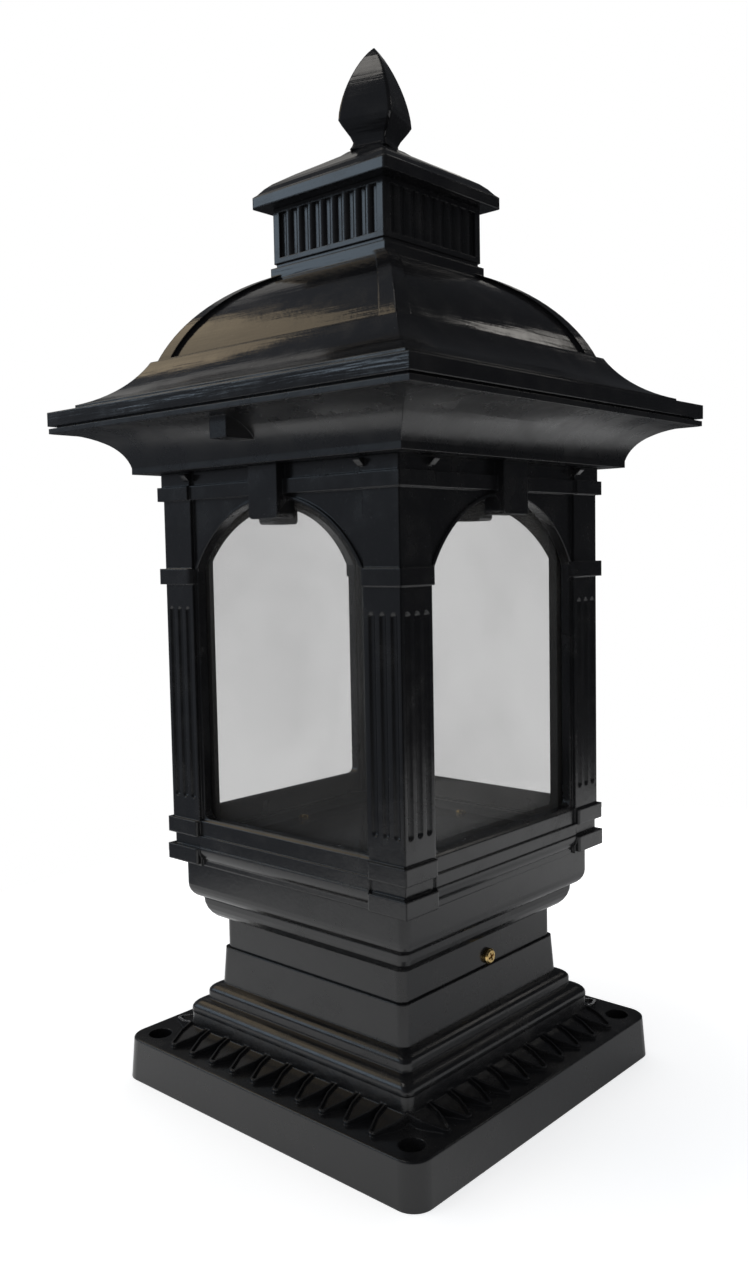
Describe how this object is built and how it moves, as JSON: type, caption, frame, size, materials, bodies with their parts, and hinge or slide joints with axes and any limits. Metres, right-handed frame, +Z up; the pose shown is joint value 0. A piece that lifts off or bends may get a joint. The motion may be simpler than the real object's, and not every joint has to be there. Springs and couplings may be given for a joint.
{
  "type": "post top lantern",
  "caption": "Square cast post top lantern with arched clear panes between fluted pilasters, a swept hip roof, a ribbed cupola and a turned finial on a bolted base.",
  "frame": {"origin": "on the lantern's vertical axis at the underside of the mounting plate", "axes": "+Z up along the lantern's axis; -Y out of the side with the small lug under the eaves; +X to its right"},
  "size_m": [0.25, 0.25, 0.55],
  "materials": {
    "black_casting": "gloss",
    "glass": "clear",
    "rubber": "matte",
    "brass": "satin",
    "zinc_steel": "satin",
    "phenolic": "satin",
    "ceramic": "gloss",
    "wire_brown": "satin",
    "wire_blue": "satin",
    "wire_green": "satin"
  },
  "bodies": {
    "lantern": {"base_casting": "black_casting", "gallery_casting": "black_casting", "frame_front": "black_casting", "frame_right": "black_casting", "frame_back": "black_casting", "frame_left": "black_casting", "glass_front": "glass", "glass_right": "glass", "glass_back": "glass", "glass_left": "glass", "gasket_front": "rubber", "gasket_right": "rubber", "gasket_back": "rubber", "gasket_left": "rubber", "glass_clips": "zinc_steel", "clip_screws": "zinc_steel", "floor_plate": "black_casting", "floor_screws": "brass", "neck_screws": "brass", "eaves_ring": "black_casting", "ring_screws": "zinc_steel", "lamp_bracket": "zinc_steel", "earth_screw": "zinc_steel", "lamp_tube": "zinc_steel", "lamp_tube_nuts": "zinc_steel", "lampholder_cap": "phenolic", "lampholder_skirt": "phenolic", "lampholder_core": "ceramic", "lampholder_shell": "brass", "lampholder_contacts": "brass", "wireway_tube": "zinc_steel", "wireway_nut": "zinc_steel", "wire_bush": "rubber", "wire_live": "wire_brown", "wire_neutral": "wire_blue", "wire_earth": "wire_green", "terminal_block": "ceramic", "terminal_inserts": "brass", "block_screws": "zinc_steel"},
    "roof": {"roof_shell": "black_casting", "cupola_box": "black_casting", "cupola_cap": "black_casting"},
    "washer": {"finial_washer": "zinc_steel"},
    "finial": {"finial": "black_casting"}
  },
  "joints": [
    {"name": "roof_lift", "type": "slide", "parent": "lantern", "child": "roof", "axis": [0, 0, 1], "range_m": [0, 0.09]},
    {"name": "finial_rise", "type": "slide", "parent": "roof", "child": "washer", "axis": [0, 0, 1], "range_m": [0, 0.0101]},
    {"name": "finial_turn", "type": "hinge", "parent": "washer", "child": "finial", "pos_m": [0, 0, 0.5], "axis": [0, 0, 1], "range_deg": [0, 3600]}
  ],
  "couplings": [
    {"joint": "finial_rise", "follows": "finial_turn", "m_per_rad": 0.00015915}
  ]
}
